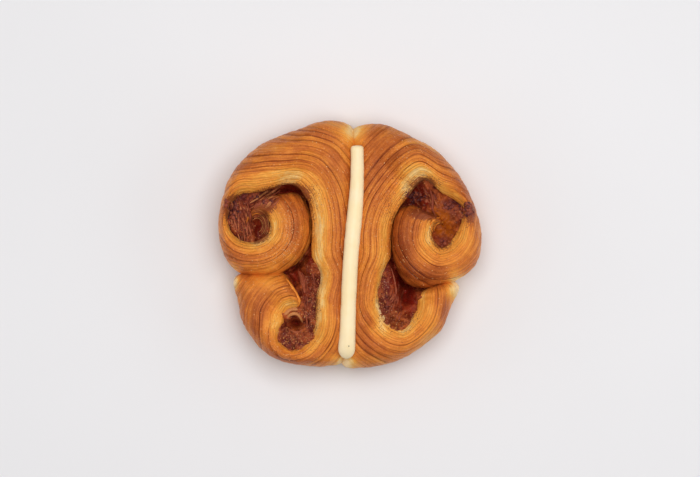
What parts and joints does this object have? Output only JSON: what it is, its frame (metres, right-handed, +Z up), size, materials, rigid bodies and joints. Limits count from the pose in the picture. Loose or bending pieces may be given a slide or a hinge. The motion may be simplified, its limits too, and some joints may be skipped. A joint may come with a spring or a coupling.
{
  "type": "cinnamon palmier pastry",
  "caption": "Palmier of laminated dough: mirrored scrolls joined along a seam, with cinnamon filling between the turns and a piped line of icing over the seam.",
  "frame": {"origin": "middle of the flat underside", "axes": "+X to the right and +Y away from the eater, along the seam towards the wide end with the large scrolls; +Z up"},
  "size_m": [0.119, 0.1123, 0.0426],
  "materials": {
    "baked_dough": "browned laminated dough with a thin satin glaze",
    "cinnamon_filling": "dark baked cinnamon and sugar paste, grainy, moist in places",
    "cream_icing": "smooth set cream icing, satin"
  },
  "bodies": {
    "root": {"pastry": "baked_dough", "filling_left": "cinnamon_filling", "filling_right": "cinnamon_filling", "icing": "cream_icing"}
  },
  "joints": []
}
